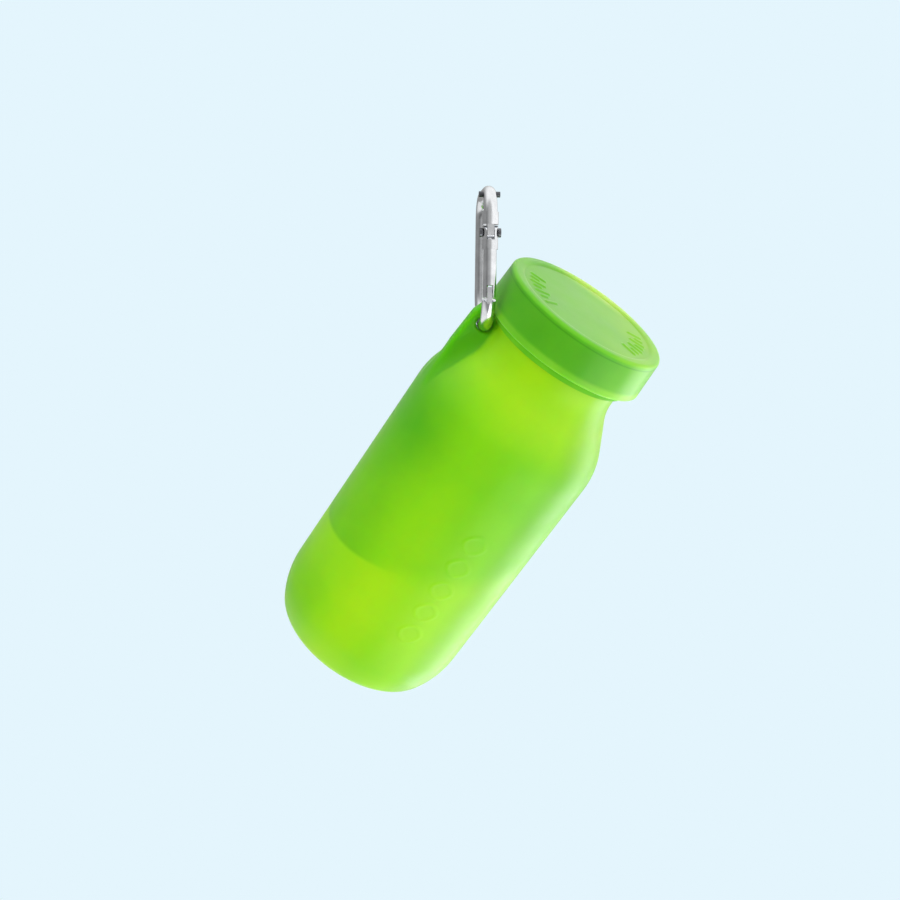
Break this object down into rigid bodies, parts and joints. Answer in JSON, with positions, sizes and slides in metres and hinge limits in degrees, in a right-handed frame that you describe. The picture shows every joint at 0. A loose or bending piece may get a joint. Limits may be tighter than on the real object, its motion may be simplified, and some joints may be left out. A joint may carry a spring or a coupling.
{
  "type": "folding water bottle",
  "caption": "Soft folding silicone water bottle with a screw cap, a carry ear on its shoulder and a small spring-gate carabiner.",
  "frame": {"origin": "centre of the base, where the bottle stands", "axes": "+Z along the bottle's axis, up through the mouth; the carry ear is on the -X side"},
  "size_m": [0.0889, 0.072, 0.1777],
  "materials": {
    "wall_silicone": "satin translucent",
    "cap_silicone": "satin translucent",
    "ring_plastic": "matte",
    "liner_plastic": "matte",
    "seal_silicone": "satin translucent",
    "carabiner_aluminium": "polished",
    "rivet_steel": "dark satin",
    "spring_steel": "satin"
  },
  "bodies": {
    "foot": {"bottle_base": "wall_silicone", "bottle_fold_zone": "wall_silicone"},
    "upper": {"bottle_shoulder": "wall_silicone", "neck_ring": "ring_plastic"},
    "seal": {"cap_seal": "seal_silicone"},
    "cap": {"cap_shell": "cap_silicone", "cap_insert": "liner_plastic"},
    "carabiner": {"carabiner_frame": "carabiner_aluminium", "gate_pivot_rivet": "rivet_steel", "crown_rivet": "rivet_steel"},
    "gate": {"carabiner_gate": "carabiner_aluminium", "gate_latch_pin": "rivet_steel", "gate_spring": "spring_steel"},
    "pusher": {"gate_plunger": "rivet_steel"}
  },
  "joints": [
    {"name": "fold", "type": "hinge", "parent": "foot", "child": "upper", "pos_m": [0, 0, 0.062], "axis": [0, 1, 0], "range_deg": [0, 80], "stiffness_Nm_per_rad": 0.8, "deforming": ["bottle_fold_zone"]},
    {"name": "cap_rise", "type": "slide", "parent": "upper", "child": "seal", "axis": [0, 0, 1], "range_m": [0, 0.0281]},
    {"name": "cap_turn", "type": "hinge", "parent": "seal", "child": "cap", "pos_m": [0, 0, 0.15], "axis": [0, 0, 1], "range_deg": [0, 2016]},
    {"name": "carabiner_swing", "type": "hinge", "parent": "upper", "child": "carabiner", "pos_m": [-0.0288, 0, 0.1381], "axis": [0, -1, 0], "range_deg": [0, 124]},
    {"name": "gate_swing", "type": "hinge", "parent": "carabiner", "child": "gate", "pos_m": [-0.04461, -0.00115, 0.16663], "axis": [0.8746, 0, 0.4848], "range_deg": [0, 14], "stiffness_Nm_per_rad": 0.02, "springref_deg": -17.19, "deforming": ["gate_spring"]},
    {"name": "pusher_slide", "type": "slide", "parent": "gate", "child": "pusher", "axis": [0.43, -0.4617, -0.7758], "range_m": [0, 0.00035]}
  ],
  "couplings": [
    {"joint": "cap_rise", "follows": "cap_turn", "m_per_rad": 0.00079577},
    {"joint": "pusher_slide", "follows": "gate_swing", "m_per_rad": 0.0012}
  ]
}
